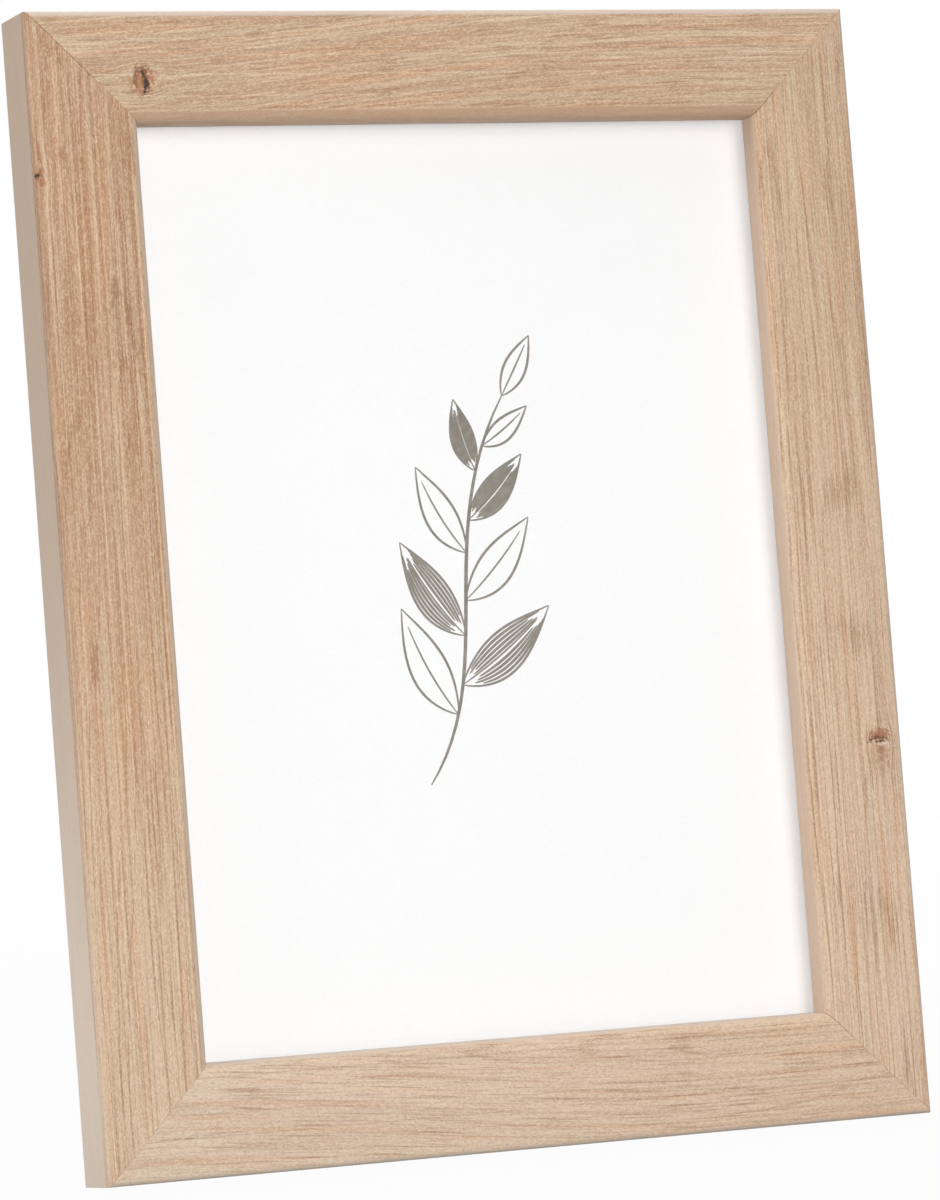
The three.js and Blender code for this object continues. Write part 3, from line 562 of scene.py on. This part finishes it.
def wax_arc(middle_across, middle_deep, radius, start):
    """A quarter turn of a rounded edge, just under its surface, from a start angle."""
    places = []
    for step in range(ARC_STEPS + 1):
        turn = math.radians(start + 90 * step / ARC_STEPS)
        places.append((middle_across + (radius - WAX_SINK) * math.cos(turn),
                       middle_deep - (radius - WAX_SINK) * math.sin(turn)))
    return places


def fill_mitre(name, side, end, starts, stops):
    """Wax in a mitre: side is -1 or 1 for left or right, end is 1 or -1 for bottom or top."""
    lip_back = LIP_DEPTH - WAX_SINK
    rebate = REBATE_INSET - WAX_SINK
    back = MOULDING_BACK - WAX_SINK
    if starts:
        section = [(starts, lip_back), (starts, WAX_SINK)]
    else:
        section = [(rebate, lip_back), (rebate, back), (WAX_SINK, back)]
        section += wax_arc(OUTER_ARRIS, OUTER_ARRIS, OUTER_ARRIS, 90)[::-1]
    if stops < FACE_WIDTH:
        section += [(stops, WAX_SINK), (stops, lip_back)]
    else:
        section += wax_arc(FACE_WIDTH - SIGHT_ARRIS, SIGHT_ARRIS, SIGHT_ARRIS, 0)[::-1]
        section.append((FACE_WIDTH - WAX_SINK, lip_back))
    count = len(section)
    points = []
    for face in (-1, 1):
        shift = face * WAX_THICKNESS / 2 * math.sqrt(0.5)
        for across, deep in section:
            x = side * (FRAME_WIDTH / 2 - across + shift)
            from_end = across + shift
            z = from_end if end > 0 else FRAME_HEIGHT - from_end
            points.append(leaning_point(x, deep, z))
    faces = [list(range(count)), list(range(count, 2 * count))]
    for i in range(count):
        following = (i + 1) % count
        faces.append([i, following, count + following, count + i])
    add_piece(name, points, faces, WAX)


WAX_STOPS_SHORT = 2.5
SHORT_REACH = FACE_WIDTH - SIGHT_ARRIS - WAX_STOPS_SHORT
OPEN_REACH = 13.5
fill_mitre("mitre_wax_bottom_left", -1, 1, 0, FACE_WIDTH)
fill_mitre("mitre_wax_bottom_right", 1, 1, 0, SHORT_REACH)
fill_mitre("mitre_wax_top_right", 1, -1, 0, SHORT_REACH)
fill_mitre("mitre_wax_top_left", -1, -1, OPEN_REACH, FACE_WIDTH)


# The sheet's print: a leafy sprig in pen strokes, as thin raised ink
INK_THICKNESS = 0.03
STROKE_STEPS = 24
STROKE_TIP = 0.35
STEM_PEN = 0.8
EDGE_PEN = 0.55
RIB_PEN = 0.4
HATCH_PEN = 0.62
HATCH_LINES = (-4, -3, -2, -1, 1, 2, 3, 4)
LEAF_BREADTH = 0.17


class PenDrawing:
    """Collects pen strokes on the sheet, each a thin closed strip, into one piece."""

    def __init__(self):
        self.points = []
        self.faces = []

    def stroke(self, course, width):
        """Ink along a course of (x, z) places, as wide as width in its middle and narrower at its ends."""
        start = len(self.points)
        last = len(course) - 1
        for i, place in enumerate(course):
            ahead = course[min(i + 1, last)] - course[max(i - 1, 0)]
            across = Vector((-ahead.y, ahead.x)).normalized()
            full = math.sin(math.pi * i / last) ** 0.5
            half = width / 2 * (STROKE_TIP + (1 - STROKE_TIP) * full)
            for edge in (place + across * half, place - across * half):
                for deep in (INSERT_FRONT - INK_THICKNESS, INSERT_FRONT):
                    self.points.append(leaning_point(edge.x, deep, edge.y))
        for i in range(last):
            here, there = start + 4 * i, start + 4 * i + 4
            for a, b in ((0, 2), (2, 3), (3, 1), (1, 0)):
                self.faces.append([here + a, here + b, there + b, there + a])
        for end in (start, start + 4 * last):
            self.faces.append([end, end + 2, end + 3, end + 1])

    def leaf(self, root, heading, length, bow, filled):
        """A pointed leaf: its two edges, its rib, and pen hatching when it is filled."""
        forward = Vector((math.cos(heading), math.sin(heading)))
        aside = Vector((-forward.y, forward.x))
        breadth = LEAF_BREADTH * length

        def place(t, share):
            """A place along the leaf, at a share of its half breadth from its rib."""
            middle = root + forward * length * t + aside * bow * length * t * t
            return middle + aside * breadth * share * math.sin(math.pi * t ** 0.85)

        steps = [i / STROKE_STEPS for i in range(STROKE_STEPS + 1)]
        self.stroke([place(t, 1) for t in steps], EDGE_PEN)
        self.stroke([place(t, -1) for t in steps], EDGE_PEN)
        self.stroke([place(0.85 * t, 0.04) for t in steps], RIB_PEN)
        if filled:
            for line in HATCH_LINES:
                early = 0.10 + 0.03 * (line % 3)
                late = 0.90 - 0.04 * (line % 4)
                self.stroke([place(early + (late - early) * t, line / 5) for t in steps], HATCH_PEN)


def curve_point(ends, t):
    """A place on a cubic curve through its first and last of four points."""
    a, b, c, d = ends
    s = 1 - t
    return a * s ** 3 + b * 3 * s * s * t + c * 3 * s * t * t + d * t ** 3


def draw_sprig():
    """A bowed stem with leaves, each with its place on the stem, side, length and whether it is hatched."""
    drawing = PenDrawing()
    stem = [Vector(place) for place in ((-13, 74), (4, 96), (-9, 124), (9, 152))]
    steps = [i / STROKE_STEPS for i in range(STROKE_STEPS + 1)]
    drawing.stroke([curve_point(stem, t) for t in steps], STEM_PEN)
    leaves = [(0.20, 1, 24, False), (0.28, -1, 25, True), (0.41, 1, 23, True), (0.50, -1, 22, False),
              (0.62, 1, 20, False), (0.70, -1, 18, True), (0.82, 1, 15, True), (0.88, -1, 13, False)]
    for t, side, length, filled in leaves:
        ahead = curve_point(stem, t + 0.01) - curve_point(stem, t - 0.01)
        heading = math.atan2(ahead.y, ahead.x) + side * math.radians(56 - 18 * t)
        drawing.leaf(curve_point(stem, t), heading, length, -0.16 * side, filled)
    tip = stem[3] - stem[2]
    drawing.leaf(stem[3], math.atan2(tip.y, tip.x), 14, 0.05, False)
    add_piece("printed_sprig", drawing.points, drawing.faces, INK)


draw_sprig()


# The hanger's ring as round bent wire, finer than its solid
WIRE_SIDES = 20
WIRE_END_EASE = 0.2
BEND_STEPS = 10


def bend_ring():
    """A triangle of wire that hangs from the strap and turns with the hanger's joint."""
    joints = frame["record"]["behaviour"]["joints"]
    hinge = next(joint for joint in joints if joint["name"] == "hanger_swing")
    corners = [Vector(place) for place in ((RING_WIDTH / 2, 0), (0, -RING_HEIGHT), (-RING_WIDTH / 2, 0))]
    start, end = Vector((RING_END_GAP / 2, 0)), Vector((-RING_END_GAP / 2, 0))
    course = [start]
    for corner, following in zip(corners, corners[1:] + [end]):
        into = corner + (course[-1] - corner).normalized() * RING_CORNER
        out = corner + (following - corner).normalized() * RING_CORNER
        for step in range(BEND_STEPS + 1):
            t = step / BEND_STEPS
            course.append(into * (1 - t) ** 2 + corner * 2 * t * (1 - t) + out * t * t)
    course.append(end)

    # Each end of the wire is eased by one smaller ring of points
    tip = Vector((WIRE_END_EASE, 0))
    tip_radius = WIRE_RADIUS - WIRE_END_EASE
    places = [(start, tip_radius), (start + tip, WIRE_RADIUS)]
    places += [(place, WIRE_RADIUS) for place in course[1:-1]]
    places += [(end - tip, WIRE_RADIUS), (end, tip_radius)]
    points = []
    for i, (place, radius) in enumerate(places):
        ahead = places[min(i + 1, len(places) - 1)][0] - places[max(i - 1, 0)][0]
        across = Vector((-ahead.y, ahead.x)).normalized()
        for turn in range(WIRE_SIDES):
            angle = 2 * math.pi * turn / WIRE_SIDES
            spot = place + across * radius * math.cos(angle)
            local = Vector((spot.x, radius * math.sin(angle), spot.y)) * MM
            points.append(Vector(hinge["pos_m"]) + local)
    faces = []
    for i in range(len(places) - 1):
        for turn in range(WIRE_SIDES):
            a, b = i * WIRE_SIDES + turn, i * WIRE_SIDES + (turn + 1) % WIRE_SIDES
            faces.append([a, b, b + WIRE_SIDES, a + WIRE_SIDES])
    end_ring = (len(places) - 1) * WIRE_SIDES
    faces += [list(range(WIRE_SIDES)), list(range(end_ring, end_ring + WIRE_SIDES))]
    ring = add_piece("hanger_wire_ring", points, faces, STEEL, "ring")
    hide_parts("hanger_ring")
    soften(ring, 0)


bend_ring()


# Stage: pale floor, soft studio light and a white background. Distances here are in metres.
FLOOR_REACH = 3.0
FLOOR_LEVEL = -0.05 * MM
FLOOR_GREY = "#909090"
FLOOR_NEAR = 0.08
FLOOR_FAR = 0.45
FLOOR_WHITE_NEAR = 0.97
WORLD_LIGHT = 0.1
LAMP_TARGET = (0, 0, 0.11)


def seen_directly(tree):
    """1 for what the camera sees itself, in a reflection or through glass, and 0 for light on the object."""
    path = add(tree, "ShaderNodeLightPath", out="Is Camera Ray")
    seen = add(tree, "ShaderNodeMath", {0: path, 1: path.node.outputs["Is Glossy Ray"]}, operation="MAXIMUM")
    return add(tree, "ShaderNodeMath", {0: seen, 1: path.node.outputs["Is Transmission Ray"]},
               operation="MAXIMUM")


# Painted board, matt grey under the lamps. The camera sees it as the white background, with the shadow kept.
def pale_floor():
    material, tree = new_material("pale_floor")
    board = add(tree, "ShaderNodeBsdfDiffuse", {"Color": linear(FLOOR_GREY)})
    white = add(tree, "ShaderNodeEmission", {"Strength": 1.0})
    point = add(tree, "ShaderNodeTexCoord", out="Object")
    away = add(tree, "ShaderNodeVectorMath", {0: point}, out="Value", operation="LENGTH")
    fade = add(tree, "ShaderNodeMapRange", {0: away, 1: FLOOR_NEAR, 2: FLOOR_FAR, 3: FLOOR_WHITE_NEAR},
               interpolation_type="SMOOTHSTEP")
    amount = add(tree, "ShaderNodeMath", {0: seen_directly(tree), 1: fade}, operation="MULTIPLY")
    surface = add(tree, "ShaderNodeMixShader", {0: amount, 1: board, 2: white})
    add(tree, "ShaderNodeOutputMaterial", {"Surface": surface})
    return material


def build_stage():
    """The floor, and a world that is white to the camera and dim as a light."""
    ground = bpy.data.meshes.new("floor")
    square = ((-1, -1), (1, -1), (1, 1), (-1, 1))
    corners = [(x * FLOOR_REACH, y * FLOOR_REACH, FLOOR_LEVEL) for x, y in square]
    ground.from_pydata(corners, [], [(0, 1, 2, 3)])
    ground.materials.append(pale_floor())
    floor = bpy.data.objects.new("floor", ground)
    bpy.context.collection.objects.link(floor)

    world = bpy.data.worlds.new("studio")
    bpy.context.scene.world = world
    world.use_nodes = True
    tree = world.node_tree
    tree.nodes.clear()
    strength = add(tree, "ShaderNodeMapRange", {0: seen_directly(tree), 3: WORLD_LIGHT})
    sky = add(tree, "ShaderNodeBackground", {"Color": (1, 1, 1, 1), "Strength": strength})
    add(tree, "ShaderNodeOutputWorld", {"Surface": sky})


def aim(thing, place, target):
    """Put a lamp or camera at a place and turn it to a target."""
    thing.location = place
    thing.rotation_euler = (target - place).to_track_quat("-Z", "Y").to_euler()


def direction(azimuth, elevation):
    """From the target towards a place at an azimuth right of the front and an elevation, in radians."""
    level = math.cos(elevation)
    return Vector((math.sin(azimuth) * level, -math.cos(azimuth) * level, math.sin(elevation)))


def add_lamp(name, azimuth, elevation, distance, size, power, colour=(1, 1, 1)):
    """A round softbox turned to the frame. It isn't mirrored in the pane: the photograph shows none."""
    lamp = bpy.data.lights.new(name, "AREA")
    lamp.shape = "DISK"
    lamp.size = size
    lamp.energy = power
    lamp.color = colour
    fixture = bpy.data.objects.new(name, lamp)
    fixture.visible_camera = False
    fixture.visible_glossy = False
    fixture.visible_transmission = False
    bpy.context.collection.objects.link(fixture)
    target = Vector(LAMP_TARGET)
    aim(fixture, target + direction(math.radians(azimuth), math.radians(elevation)) * distance, target)


def place_camera():
    """The camera of the photograph, as fitted."""
    camera = bpy.data.cameras.new("camera")
    camera.lens = CAMERA_LENS
    camera.sensor_width = SENSOR_WIDTH
    viewer = bpy.data.objects.new("camera", camera)
    bpy.context.collection.objects.link(viewer)
    target = Vector(CAMERA_TARGET) * MM
    aim(viewer, target + direction(CAMERA_AZIMUTH, CAMERA_ELEVATION) * CAMERA_DISTANCE * MM, target)
    bpy.context.scene.camera = viewer


place_camera()
build_stage()
add_lamp("key_softbox", 14, 28, 2.0, 1.0, 9.45)
add_lamp("front_softbox", -17, 9, 1.2, 0.25, 8.4)
add_lamp("left_fill", -93.5, 30, 1.8, 1.0, 13.6)
add_lamp("low_left_fill", -86, -30, 0.2, 0.06, 0.05, (0.8, 1.0, 1.2))
add_lamp("overhead_softbox", 180, 78, 1.6, 0.8, 12)
add_lamp("back_softbox", 160, 30, 1.6, 0.8, 8)
bpy.context.scene.view_settings.view_transform = "Standard"
